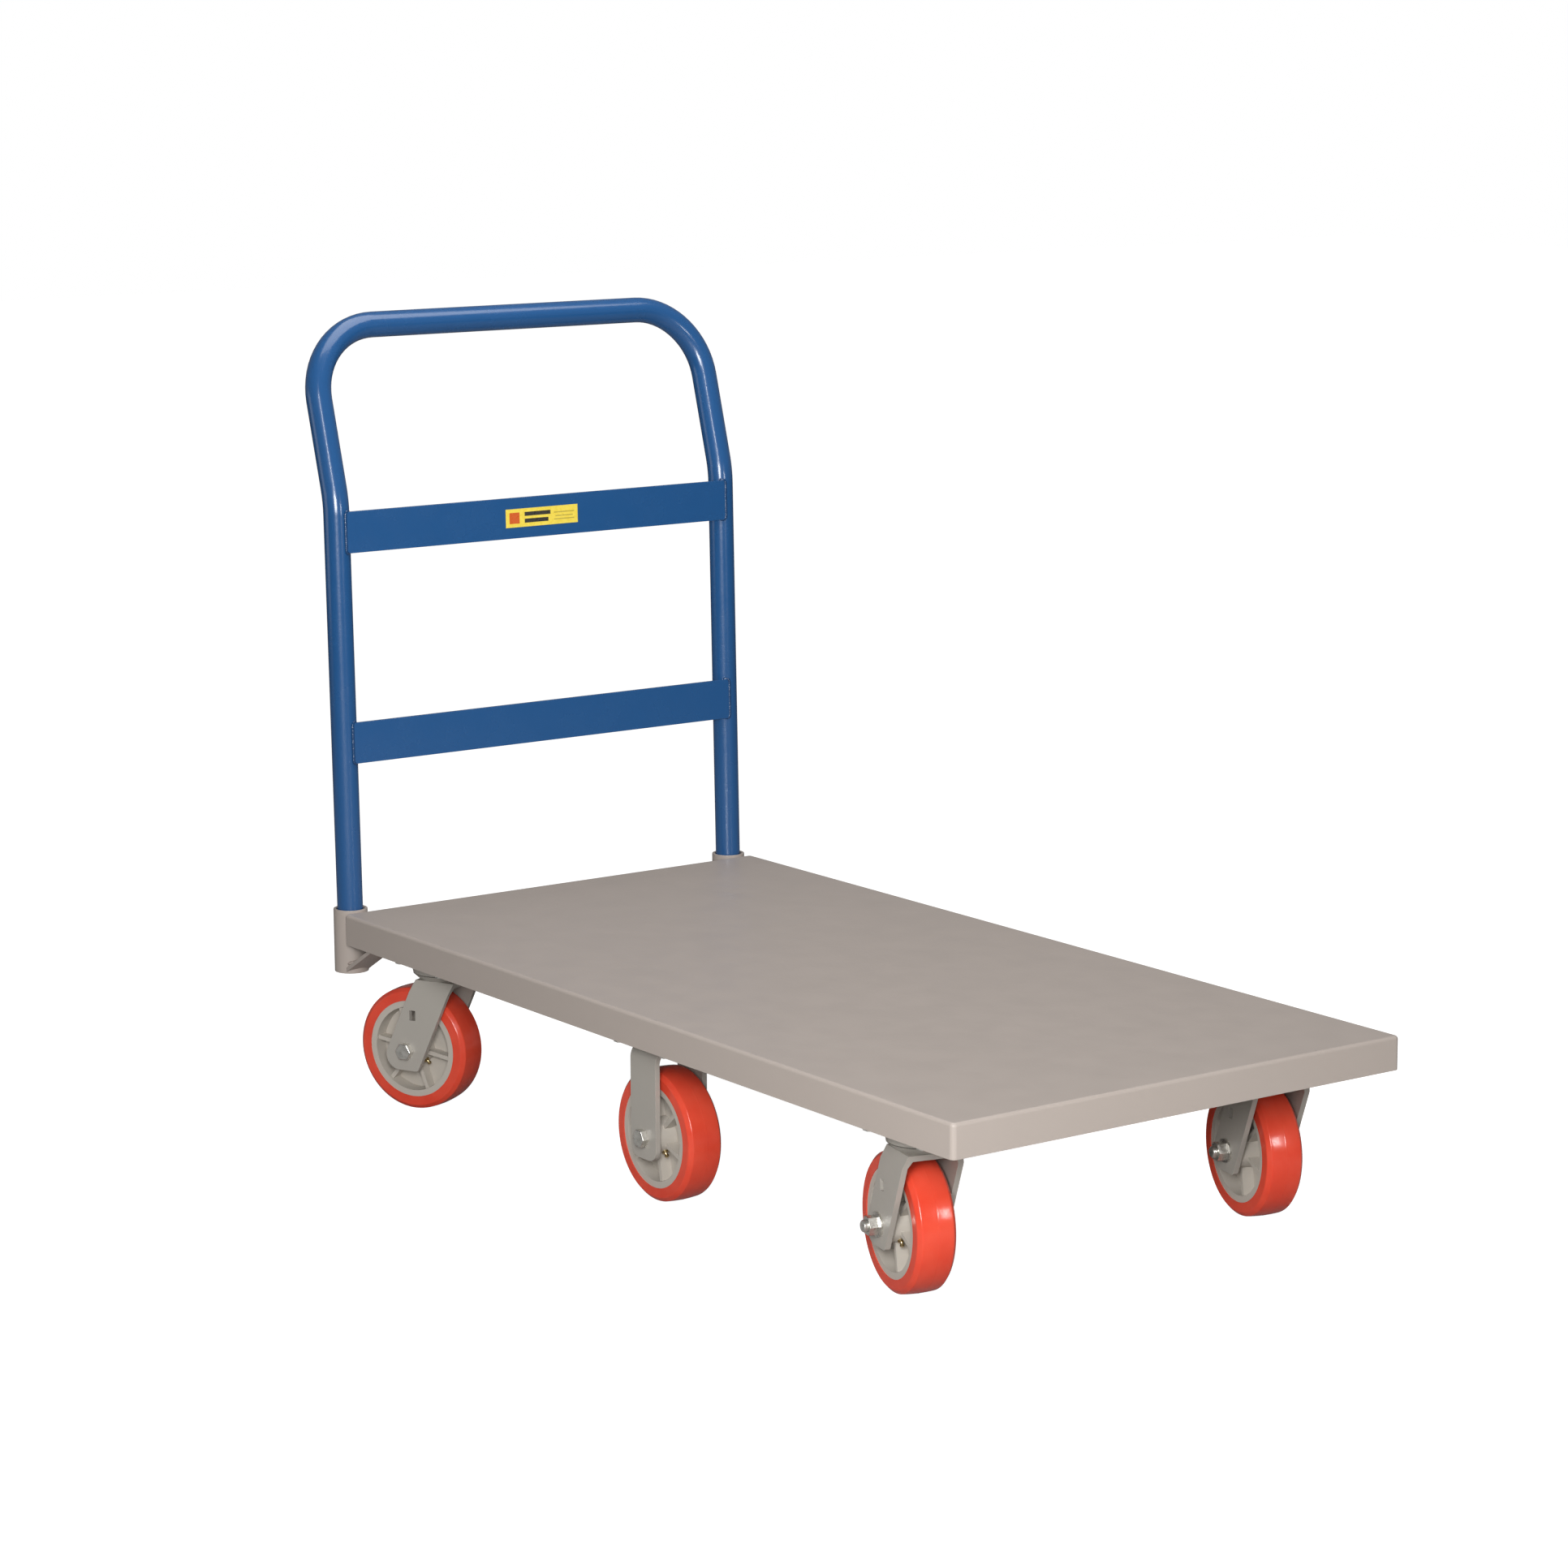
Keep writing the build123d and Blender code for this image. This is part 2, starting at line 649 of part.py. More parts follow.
with BuildPart() as handle_tube:
    with BuildLine() as tube_line:
        FilletPolyline(*tube_path, radius=tube_radii)
    with BuildSketch(Plane(origin=tube_path[0], x_dir=handle_frame.x_dir, z_dir=handle_frame.z_dir)):
        Circle(tube_diameter / 2)
        Circle(tube_diameter / 2 - tube_wall, mode=Mode.SUBTRACT)
    sweep(path=tube_line.line)
save(handle_tube, "handle_tube")

rail_face = tube_diameter / 2 + rail_face_proud
rail_length = 2 * (socket_y - rail_end_inset)
for rail, height in (("lower", lower_rail_height), ("upper", upper_rail_height)):
    rail_base = deck_in_frame + height
    with BuildPart() as handle_rail:
        with BuildSketch(handle_frame.offset(rail_base)):
            with Locations((rail_face - rail_thickness / 2, 0)):
                Rectangle(rail_thickness, rail_length)
            with Locations((0, -socket_y), (0, socket_y)):
                Circle(tube_diameter / 2, mode=Mode.SUBTRACT)
        extrude(amount=rail_height)
    save(handle_rail, f"{rail}_rail")

label_base = deck_in_frame + upper_rail_height + (rail_height - label_height) / 2
with BuildPart() as rail_label:
    with BuildSketch(handle_frame.offset(label_base)):
        with Locations((rail_face + label_thickness / 2, 0)):
            Rectangle(label_thickness, label_length)
    extrude(amount=label_height)
save(rail_label, "rail_label")
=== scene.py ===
# %% [markdown]
# # A six-wheel flatbed platform truck
# The truck is a folded steel deck on four swivel casters and two rigid ones, with a bent tube
# handle that drops into two pipe sockets. Its sizes and joints come finished from the CAD
# frame. These cells add what the frame doesn't hold: rounded edges that catch the light, weld
# beads, grease fittings, a label, and the paint, rubber and plating of each piece.

# %% Load the frame
import json
import math
import random

import bmesh
import bpy
from mathutils import Matrix, Vector

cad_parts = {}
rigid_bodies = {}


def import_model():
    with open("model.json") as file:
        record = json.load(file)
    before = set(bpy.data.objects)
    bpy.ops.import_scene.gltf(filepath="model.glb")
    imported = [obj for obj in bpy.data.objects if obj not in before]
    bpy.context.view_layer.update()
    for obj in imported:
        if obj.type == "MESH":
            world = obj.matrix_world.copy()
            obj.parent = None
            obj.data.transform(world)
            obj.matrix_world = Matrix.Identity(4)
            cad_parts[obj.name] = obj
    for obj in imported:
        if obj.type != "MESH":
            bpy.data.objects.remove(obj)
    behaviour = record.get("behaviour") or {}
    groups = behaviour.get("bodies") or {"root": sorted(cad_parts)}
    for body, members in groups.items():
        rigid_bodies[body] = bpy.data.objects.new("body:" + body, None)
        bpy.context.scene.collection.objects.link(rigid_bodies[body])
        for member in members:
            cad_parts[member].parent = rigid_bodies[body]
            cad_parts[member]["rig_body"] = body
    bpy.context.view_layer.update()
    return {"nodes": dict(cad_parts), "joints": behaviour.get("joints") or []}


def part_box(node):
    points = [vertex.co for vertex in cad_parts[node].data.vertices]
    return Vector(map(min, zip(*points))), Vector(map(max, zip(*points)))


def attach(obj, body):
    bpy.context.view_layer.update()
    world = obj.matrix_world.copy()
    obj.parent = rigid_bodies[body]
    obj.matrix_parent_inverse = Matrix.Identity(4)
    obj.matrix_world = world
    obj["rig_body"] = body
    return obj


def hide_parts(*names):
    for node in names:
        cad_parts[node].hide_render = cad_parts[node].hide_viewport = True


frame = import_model()
nodes = frame["nodes"]
joints = {joint["name"]: joint for joint in frame["joints"]}
casters = sorted(node[len("wheel_core_") :] for node in nodes if node.startswith("wheel_core_"))
swivels = [name for name in casters if f"swivel_yoke_{name}" in nodes]
MM = 0.001
print(f"{len(nodes)} nodes, {len(joints)} joints, casters: {', '.join(casters)}")

# %% [markdown]
# ## The camera
# A long lens from the front right corner, a little above the deck, keeps the deck's edges
# nearly parallel. The camera's place is counted from the middle of the deck's top, so the
# view would follow the truck if the frame changed.

# %% Camera
deck_low, deck_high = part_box("deck_pan")
deck_centre = Vector(((deck_low.x + deck_high.x) / 2, (deck_low.y + deck_high.y) / 2, deck_high.z))
CAMERA_DISTANCE = 4.6979
CAMERA_AZIMUTH = math.radians(53.821)
CAMERA_HEIGHT = 1.0946
LENS_MM = 95.98
SENSOR_MM = 36.0
LOOK = Vector((-0.80097, 0.57001, -0.18314))
ROLL = math.radians(-0.30)

camera_data = bpy.data.cameras.new("camera")
camera_data.lens = LENS_MM
camera_data.sensor_width = SENSOR_MM
camera_data.clip_end = 60
camera = bpy.data.objects.new("camera", camera_data)
bpy.context.scene.collection.objects.link(camera)
ground_reach = Vector((math.sin(CAMERA_AZIMUTH), -math.cos(CAMERA_AZIMUTH), 0))
camera.location = deck_centre + ground_reach * CAMERA_DISTANCE + Vector((0, 0, CAMERA_HEIGHT))
camera.rotation_mode = "QUATERNION"
roll_turn = Matrix.Rotation(ROLL, 3, "Z").to_quaternion()
camera.rotation_quaternion = LOOK.to_track_quat("-Z", "Y") @ roll_turn
bpy.context.scene.camera = camera
print("camera at", [round(c, 3) for c in camera.location])

# %% [markdown]
# ## Nodes and colours
# Every finish is built from shader nodes. One function adds a node: its settings are given by
# name, and so are the sockets that it is linked from. A second one turns the hex colours
# that people read off a screen into the linear numbers that a shader needs.


# %% Node and colour helpers
def linear(hex_colour, alpha=1.0):
    """The linear colour of an sRGB hex value such as "#808080"."""
    steps = [int(hex_colour[i : i + 2], 16) / 255 for i in (1, 3, 5)]
    return [c / 12.92 if c <= 0.04045 else ((c + 0.055) / 1.055) ** 2.4 for c in steps] + [alpha]


def add(tree, kind, settings=None, links=None):
    """Adds a node. A setting is an attribute or an input's value; a link is an input's source."""
    node = tree.nodes.new(kind)
    for name, value in (settings or {}).items():
        if isinstance(name, int) or name in node.inputs:
            node.inputs[name].default_value = value
        else:
            setattr(node, name, value)
    for name, source in (links or {}).items():
        tree.links.new(source, node.inputs[name])
    return node


def ramp(tree, source, stops):
    """A colour ramp on a source, with its stops as (place, colour)."""
    node = add(tree, "ShaderNodeValToRGB", links={"Fac": source})
    elements = node.color_ramp.elements
    while len(elements) < len(stops):
        elements.new(0.5)
    for element, (place, colour) in zip(elements, stops):
        element.position = place
        element.color = colour
    return node.outputs["Color"]


def noise(tree, place, size_mm, **settings):
    """Noise whose features are about this many millimetres across. Gives its factor."""
    settings = {key.capitalize(): value for key, value in settings.items()}
    node = add(tree, "ShaderNodeTexNoise", {"Scale": per_metre(size_mm), **settings}, {"Vector": place})
    return node.outputs["Fac"]


def relief(tree, height, depth_mm, strength=1.0):
    """A bump of a real depth in millimetres. Gives its normal."""
    settings = {"Strength": strength, "Distance": depth_mm * MM}
    return add(tree, "ShaderNodeBump", settings, {"Height": height}).outputs["Normal"]


def drifting(tree, source, low, high, spread=0.2):
    """A value that drifts between two limits as a noise does about its middle."""
    settings = {"From Min": 0.5 - spread, "From Max": 0.5 + spread, "To Min": low, "To Max": high}
    return add(tree, "ShaderNodeMapRange", settings, {"Value": source}).outputs[0]


def blend(tree, amount, under, over):
    """One colour laid over another by an amount. The upper one is a fixed hex colour."""
    settings = {"data_type": "RGBA", 7: linear(over)}
    return add(tree, "ShaderNodeMix", settings, {0: amount, 6: under}).outputs[2]


def maths(tree, operation, source, number=0.5):
    """One sum on a source and a fixed number. Gives its value."""
    return add(tree, "ShaderNodeMath", {"operation": operation, 1: number}, {0: source}).outputs[0]


def finished(tree, output, settings, links):
    """A Principled shader, linked to the material's output."""
    shader = add(tree, "ShaderNodeBsdfPrincipled", settings, links)
    tree.links.new(shader.outputs["BSDF"], output.inputs["Surface"])


def new_material(name):
    """An empty material with its output, and object coordinates in metres."""
    material = bpy.data.materials.new(name)
    material.use_nodes = True
    tree = material.node_tree
    tree.nodes.clear()
    output = add(tree, "ShaderNodeOutputMaterial")
    place = add(tree, "ShaderNodeTexCoord").outputs["Object"]
    return material, tree, output, place


def per_metre(size_mm):
    """The noise scale whose features are about this many millimetres across."""
    return 1000.0 / size_mm


# %% [markdown]
# ## Enamelled steel
# The deck and the casters are sprayed with a warm grey enamel over sheet and plate. Sprayed
# enamel isn't flat: it dries with a fine orange peel, 2 to 3 mm from crest to crest, its
# colour drifts a little over a hand's width, and it gets thin on sharp edges, which are painted
# paler as a painted highlight. The peel is a noise that drives a bump node, the drift is a much
# larger noise between two close greys, and the painted edge highlight reads the "edge" attribute
# that the edge rounding below writes.


# %% Enamel
def enamel(name, pale, deep, edge, roughness, peel_mm, peel_height, coat=0.0, drift_mm=120.0):
    """A sprayed paint: two close tones, a paler edge painted as a highlight, orange peel and a slight
    coat.
    """
    material, tree, output, place = new_material(name)
    drift = noise(tree, place, drift_mm, detail=3.0)
    tone = ramp(tree, drift, [(0.35, linear(deep)), (0.65, linear(pale))])
    # The paler edge colour laid on the beveled faces is a painted highlight.
    mark = add(tree, "ShaderNodeAttribute", {"attribute_name": "edge"})
    edge_highlighted_tone = blend(tree, mark.outputs["Fac"], tone, edge)
    peel = noise(tree, place, peel_mm, detail=1.5, roughness=0.4)
    haze = noise(tree, place, drift_mm / 3, detail=4.0)
    gloss = drifting(tree, haze, roughness * 0.85, roughness * 1.15)
    normal = relief(tree, peel, peel_height)
    finished(
        tree,
        output,
        {"IOR": 1.5, "Coat Weight": coat, "Coat Roughness": 0.12},
        {"Base Color": edge_highlighted_tone, "Roughness": gloss, "Normal": normal},
    )
    return material


# The third colour of each enamel is its edge tone, a painted highlight on the beveled edges.
deck_enamel = enamel(
    "warm grey enamelled sheet steel", "#A4978F", "#9C9088", "#B4A9A1", 0.44, peel_mm=3.0, peel_height=0.04
)
caster_enamel = enamel(
    "grey enamelled plate steel",
    "#9A948C",
    "#918B83",
    "#ABA69E",
    0.42,
    peel_mm=3.5,
    peel_height=0.05,
    drift_mm=60,
)
# A darker copy of the deck's enamel: painted shade for the cross channels under the deck and the stops
# inside the sockets. Its paler edge tone is a painted highlight.
under_deck_shaded_enamel = enamel(
    "deck enamel darkened as painted shade under the deck", "#8F877E", "#857D75", "#9E968D", 0.50, peel_mm=4.0, peel_height=0.05
)
print("enamels:", deck_enamel.name, "|", caster_enamel.name, "|", under_deck_shaded_enamel.name)

# %% [markdown]
# ## Powder-coated tube
# The handle is powder coated: dry powder baked into a thick skin of gloss blue plastic. It
# flows more than sprayed paint, so the peel is longer and deeper, and a clear gloss sits on
# top of it. The same builder makes it, with a coat.

# %% Powder coat
# Its paler edge blue is a painted highlight on the beveled edges.
handle_coat = enamel(
    "gloss blue powder coat on tube steel", "#0B4273", "#093C6A", "#1F558C", 0.26, 4.5, 0.08, coat=0.5
)
print("powder coat:", handle_coat.name)

# %% [markdown]
# ## Cast polyurethane
# The tread is polyurethane cast in a polished mould: dense, slightly translucent and glossy,
# red-orange right through. A little subsurface scattering stands for the way light soaks in.
# Rolling leaves a fine scuff on the crown, so a fine noise dulls the gloss here and there. The
# noise isn't stretched along the rolling, because the wheels stand at different headings.


# %% Polyurethane
def polyurethane():
    """Red-orange cast polyurethane with soft depth and a slightly scuffed gloss."""
    material, tree, output, place = new_material("red-orange cast polyurethane")
    cloud = noise(tree, place, 35, detail=2.0)
    tone = ramp(tree, cloud, [(0.3, linear("#DE4630")), (0.7, linear("#E6513A"))])
    scuff = noise(tree, place, 2.5, detail=5.0, roughness=0.7)
    gloss = drifting(tree, scuff, 0.14, 0.24, spread=0.15)
    normal = relief(tree, noise(tree, place, 14, detail=1.0), 0.12)
    depth = {"Subsurface Weight": 0.15, "Subsurface Radius": (1.0, 0.25, 0.12), "Subsurface Scale": 0.004}
    finished(
        tree, output, {"IOR": 1.5, **depth}, {"Base Color": tone, "Roughness": gloss, "Normal": normal}
    )
    return material


tread_rubber = polyurethane()
print("tread:", tread_rubber.name)

# %% [markdown]
# ## Moulded polyolefin
# The wheel core is a grey polyolefin moulding. The mould leaves a fine spark texture, under
# half a millimetre, which is drawn here about three times as coarse so that it shows. The
# flow of the melt leaves faint clouds in the colour, and the rounded edges are painted paler
# as a painted highlight.


# %% Polyolefin
def polyolefin():
    """Grey moulded polyolefin with a spark-eroded grain and faint flow clouds."""
    material, tree, output, place = new_material("grey moulded polyolefin")
    cloud = noise(tree, place, 25, detail=4.0, distortion=0.6)
    tone = ramp(tree, cloud, [(0.3, linear("#9B948B")), (0.7, linear("#A9A298"))])
    # The paler tone on the rounded edges is a painted highlight.
    mark = add(tree, "ShaderNodeAttribute", {"attribute_name": "edge"})
    pale = blend(tree, mark.outputs["Fac"], tone, "#BDB6AC")
    normal = relief(tree, noise(tree, place, 1.5, detail=2.0), 0.03)
    finished(tree, output, {"IOR": 1.49, "Roughness": 0.46}, {"Base Color": pale, "Normal": normal})
    return material


core_plastic = polyolefin()
print("wheel core:", core_plastic.name)

# %% [markdown]
# ## Plated and bare steel
# Bolts and nuts are zinc plated: bright, a little milky, with a spangle of slightly different
# roughness. The sleeves and rollers are ground steel with an oil film. The grease fittings
# are passivated to a yellow that reads as brass.


# %% Metals
def metal(name, pale, deep, rough_low, rough_high, cloud_mm):
    """A metal whose tone and polish drift together in small clouds."""
    material, tree, output, place = new_material(name)
    cloud = noise(tree, place, cloud_mm, detail=4.0)
    tone = ramp(tree, cloud, [(0.35, linear(deep)), (0.65, linear(pale))])
    gloss = drifting(tree, cloud, rough_low, rough_high)
    normal = relief(tree, noise(tree, place, 0.8, detail=1.0), 0.02, strength=0.5)
    finished(tree, output, {"Metallic": 1.0}, {"Base Color": tone, "Roughness": gloss, "Normal": normal})
    return material


zinc_plate = metal("bright zinc-plated steel", "#EDEBE5", "#D3D1CB", 0.22, 0.38, 5)
ground_steel = metal("oiled ground steel", "#A8A6A2", "#8E8C88", 0.22, 0.38, 8)
passivated = metal("yellow passivated steel", "#CDB88A", "#A8926A", 0.24, 0.38, 3)
print("metals:", zinc_plate.name, "|", ground_steel.name, "|", passivated.name)

# %% [markdown]
# ## Rounded edges
# Real plate never has a mathematically sharp edge: shearing, grinding and paint leave a
# radius of half a millimetre or so, and that radius is what draws the bright line along an
# edge. The CAD solids come as loose triangles with sharp edges. Each is copied, its doubles
# are merged, its flat faces are dissolved into whole ones, and the edges that turn by more
# than a set angle are beveled. The new faces carry an "edge" attribute for the paint to read.

# %% Rounding helpers
rounded_pieces = {}
FLAT_WITHIN_DEGREES = 0.6


def body_of(node):
    """The body that a CAD node belongs to."""
    return nodes[node]["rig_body"]


def put(mesh_builder, name, body, material, stands_for=(), sharp_angle=38.0):
    """Turns a bmesh into a finished piece on a body, shaded smooth between its sharp edges."""
    for face in mesh_builder.faces:
        face.smooth = True
    for edge in mesh_builder.edges:
        if edge.is_manifold and edge.calc_face_angle() > math.radians(sharp_angle):
            edge.smooth = False
    mesh = bpy.data.meshes.new(name)
    mesh_builder.to_mesh(mesh)
    mesh_builder.free()
    mesh.materials.append(material)
    piece = bpy.data.objects.new(name, mesh)
    bpy.context.scene.collection.objects.link(piece)
    weighted = piece.modifiers.new("even shading on flats", "WEIGHTED_NORMAL")
    weighted.keep_sharp = True
    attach(piece, body)
    if stands_for:
        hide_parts(*stands_for)
    return piece


def rounded(node, width_mm, material, steps=2, turn=28.0):
    """A copy of a CAD node with its sharp edges beveled, which stands for the node."""
    builder = bmesh.new()
    builder.from_mesh(nodes[node].data)
    bmesh.ops.remove_doubles(builder, verts=builder.verts, dist=0.01 * MM)
    bmesh.ops.dissolve_limit(
        builder,
        angle_limit=math.radians(FLAT_WITHIN_DEGREES),
        verts=builder.verts,
        edges=builder.edges,
        use_dissolve_boundaries=False,
    )
    # The "edge" layer marks the bevel faces, where the paints lay a paler painted highlight.
    edge_mark = builder.loops.layers.float_color.new("edge")
    sharp = [e for e in builder.edges if e.is_manifold and e.calc_face_angle() > math.radians(turn)]
    made = bmesh.ops.bevel(
        builder,
        geom=sharp,
        offset=width_mm * MM,
        offset_type="OFFSET",
        affect="EDGES",
        segments=steps,
        profile=0.5,
        clamp_overlap=True,
        material=-1,
    )
    for face in made["faces"]:
        for corner in face.loops:
            corner[edge_mark] = (1.0, 1.0, 1.0, 1.0)
    piece = put(builder, f"{node}_rounded", body_of(node), material, stands_for=(node,))
    rounded_pieces[node] = piece
    return piece


# %% [markdown]
# ## The deck and its frame
# The pan's top edges already have the bend radius of the press brake, so only its cut lower
# edge is rounded. The channels, sockets and braces get the small radius of sheared plate.

# %% Deck, channels, sockets and braces
rounded("deck_pan", 0.5, deck_enamel)
for node in sorted(nodes):
    if node.endswith("_cross_channel"):
        rounded(node, 0.4, under_deck_shaded_enamel)
    elif node.startswith("handle_socket_") or node.startswith("socket_brace_"):
        rounded(node, 0.6, deck_enamel)
# The stops inside the sockets take the darker enamel as painted shade.
nodes["socket_stops"].data.materials.clear()
nodes["socket_stops"].data.materials.append(under_deck_shaded_enamel)
print("rounded:", len(rounded_pieces), "deck pieces")

# %% [markdown]
# ## The casters' steel
# Yokes are pressed and bent from 6 mm plate, so their edges get a full 0.8 mm. Plates get a
# little less. Bolt heads are forged with a chamfer, which the CAD has, and get a hair's
# breadth more.

# %% Caster plates, yokes and bolts
for name in swivels:
    rounded(f"swivel_plate_{name}", 0.6, caster_enamel)
    rounded(f"swivel_yoke_{name}", 0.8, caster_enamel, steps=3)
for side in ("right", "left"):
    rounded(f"rigid_yoke_{side}", 0.8, caster_enamel, steps=3)
for name in casters:
    rounded(f"axle_bolt_{name}", 0.3, zinc_plate)
rounded("caster_bolts", 0.3, zinc_plate)
for node, finish in (
    [("caster_nuts", zinc_plate), ("kingpins", zinc_plate), ("race_balls", ground_steel)]
    + [(f"axle_sleeve_{name}", ground_steel) for name in casters]
    + [(f"roller_bearing_{name}", ground_steel) for name in casters]
):
    nodes[node].data.materials.clear()
    nodes[node].data.materials.append(finish)
print("rounded:", len(rounded_pieces), "pieces so far")

# %% [markdown]
# ## Wheel cores and treads
# The core is one moulding, so every corner has a radius that lets it leave the mould. The
# tread is cast round it as a separate ring. A ring is a turned shape, so it is drawn as half
# a section and spun about the axle. The section has a flat side, a sloping shoulder with a
# small radius at each end, a crown that rises by about a millimetre, and the thin raised line
# where the two halves of the mould met.


# %% Wheel pieces
def wheel_frame(name):
    """The centre of a caster's wheel and its axle's direction, from its joint."""
    joint = joints[f"wheel_{name}_roll"]
    return Vector(joint["pos_m"]), Vector(joint["axis"]).normalized()


def turned(section, centre, axle, steps, closed=True):
    """Spins a section of (radius, place along the axle) points once round an axle."""
    across = axle.cross(Vector((0, 0, 1))).normalized()
    builder = bmesh.new()
    ring = [builder.verts.new(centre + across * (r * MM) + axle * (w * MM)) for r, w in section]
    ends = ring[1:] + ring[:1] if closed else ring[1:]
    edges = [builder.edges.new(pair) for pair in zip(ring, ends)]
    bmesh.ops.spin(
        builder,
        geom=ring + edges,
        cent=centre,
        axis=axle,
        angle=2 * math.pi,
        steps=steps,
        use_merge=True,
        use_duplicate=False,
    )
    bmesh.ops.remove_doubles(builder, verts=builder.verts, dist=0.005 * MM)
    bmesh.ops.recalc_face_normals(builder, faces=builder.faces)
    return builder


def rounded_corner(before, corner, after, radius, steps=3):
    """The points of the arc that rounds one corner of a flat outline."""
    corner = Vector(corner)
    into = (Vector(before) - corner).normalized()
    out = (Vector(after) - corner).normalized()
    half = into.angle(out) / 2
    middle = corner + (into + out).normalized() * (radius / math.sin(half))
    start = corner + into * (radius / math.tan(half)) - middle
    end = corner + out * (radius / math.tan(half)) - middle
    arc = [middle + start.lerp(end, step / steps).normalized() * radius for step in range(steps + 1)]
    return [tuple(point) for point in arc]


SHOULDER_RISE = 4.6
SHOULDER_RUN = 4.3
SHOULDER_ROUND = 2.5
CROWN_RISE = 1.0
MOULD_LINE = 0.12


def tread_section(outer, inner, half_width):
    """Half of the tread's outline is worked out, and the other half is its mirror image."""
    crown_half = half_width - SHOULDER_RUN
    crown_side = outer - MOULD_LINE - CROWN_RISE

    def crown(w):
        return (crown_side + CROWN_RISE * (1 - (w / crown_half) ** 2), w)

    foot = (inner, half_width)
    low = (crown_side - SHOULDER_RISE, half_width)
    high = (crown_side, crown_half)
    half = [foot]
    half += rounded_corner(foot, low, high, SHOULDER_ROUND)
    half += rounded_corner(low, high, crown(crown_half * 0.8), SHOULDER_ROUND)
    half += [crown(crown_half * part) for part in (0.8, 0.65, 0.5, 0.35, 0.2, 0.1, 0.03)]
    return half + [(outer, 0.0)] + [(r, -w) for r, w in reversed(half)]


tread_low, tread_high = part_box("wheel_tread_middle_right")
core_low, core_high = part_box("wheel_core_middle_right")
tread_radius = (tread_high.z - tread_low.z) / 2 / MM
tread_bore = (core_high.z - core_low.z) / 2 / MM
tread_half_width = (tread_high.y - tread_low.y) / 2 / MM
section = tread_section(tread_radius, tread_bore, tread_half_width)
TREAD_STEPS = 120
for name in casters:
    centre, axle = wheel_frame(name)
    tread = turned(section, centre, axle, TREAD_STEPS)
    put(
        tread,
        f"wheel_tread_{name}_cast",
        f"wheel_{name}",
        tread_rubber,
        stands_for=(f"wheel_tread_{name}",),
        sharp_angle=60,
    )
    rounded(f"wheel_core_{name}", 1.0, core_plastic, steps=2, turn=25)
print(f"treads: radius {tread_radius:.1f} mm, {len(section)} points in the section")

# %% [markdown]
# ## The handle
# The bent tube keeps its CAD shape, and only the cut ends of its legs are rounded. The rails
# are flat bar with rolled edges, rounder than sheared plate.

# %% Handle tube and rails
rounded("handle_tube", 0.4, handle_coat)
for rail in ("lower_rail", "upper_rail"):
    rounded(rail, 0.9, handle_coat, steps=3)
print("handle coated")

# %% [markdown]
# ## The label
# A strip of glossy yellow vinyl is stuck on the upper rail. Its print is left generic: a plain
# block, two heavy bars and three thin lines. Each is a rectangle set out in shares of the
# label's own size, by measuring how far a point is from the rectangle's middle.


# %% Label
def vinyl(name, low, high):
    """Yellow vinyl with a plain block, bars and lines printed on it, placed from the label's box."""
    material, tree, output, place = new_material(name)
    centre = (low + high) / 2
    parts = add(tree, "ShaderNodeSeparateXYZ", links={"Vector": place})

    def from_middle(axis, middle):
        shifted = maths(tree, "SUBTRACT", parts.outputs[axis], middle)
        return maths(tree, "ABSOLUTE", shifted)

    def within(distance, limit):
        return maths(tree, "LESS_THAN", distance, limit)

    def both(first, second, operation="MULTIPLY"):
        return add(tree, "ShaderNodeMath", {"operation": operation}, {0: first, 1: second}).outputs[0]

    def patch(middle_share, half_share, up_shift, up_half):
        """A rectangle of print, its sides given as shares of the label's own half sizes."""
        sideways = from_middle("Y", centre.y + middle_share * half_length)
        upwards = from_middle("Z", centre.z + up_shift * half_height)
        wide = within(sideways, half_share * half_length)
        return both(wide, within(upwards, up_half * half_height))

    half_length = (high.y - low.y) / 2
    half_height = (high.z - low.z) / 2
    block = patch(-0.76, 0.14, 0.0, 0.6)
    heavy_bars = both(patch(-0.12, 0.36, 0.38, 0.22), patch(-0.15, 0.33, -0.36, 0.22), "MAXIMUM")
    thin_lines = both(patch(0.62, 0.28, 0.3, 0.06), patch(0.62, 0.24, -0.1, 0.06), "MAXIMUM")
    thin_lines = both(thin_lines, patch(0.62, 0.28, -0.45, 0.06), "MAXIMUM")
    ink = both(heavy_bars, maths(tree, "MULTIPLY", thin_lines, 0.45), "MAXIMUM")
    scuff = noise(tree, place, 6, detail=4.0)
    yellow = ramp(tree, scuff, [(0.3, linear("#F7DC52")), (0.7, linear("#FCE45E"))])
    printed = blend(tree, ink, blend(tree, block, yellow, "#D8642E"), "#3B3A36")
    gloss = drifting(tree, scuff, 0.22, 0.36)
    finished(tree, output, {"IOR": 1.5}, {"Base Color": printed, "Roughness": gloss})
    return material


label_vinyl = vinyl("yellow printed vinyl film", *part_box("rail_label"))
nodes["rail_label"].data.materials.clear()
nodes["rail_label"].data.materials.append(label_vinyl)
print("label:", label_vinyl.name)

# %% [markdown]
# ## Weld beads
# The frame is welded by hand. A bead is a string of overlapping puddles, so its surface
# ripples every 2 mm or so and its width wanders. Here a small circle is carried along a path,
# its radius swells and shrinks with the ripple, and neighbouring circles are bridged. The
# circle is half sunk in the parts it joins. The paint on a bead is the frame's own.

# %% Bead helper
random.seed(11)
BEAD_STEP = 0.9
BEAD_SIDES = 10
RIPPLE_PITCH = 2.4


def along(points, step_mm):
    """Places every few millimetres along a path of points, each with the path's direction."""
    places = []
    for start, end in zip(points, points[1:]):
        count = max(1, round((end - start).length / (step_mm * MM)))
        places += [(start.lerp(end, k / count), (end - start).normalized()) for k in range(count)]
    places.append((points[-1], (points[-1] - points[-2]).normalized()))
    return places


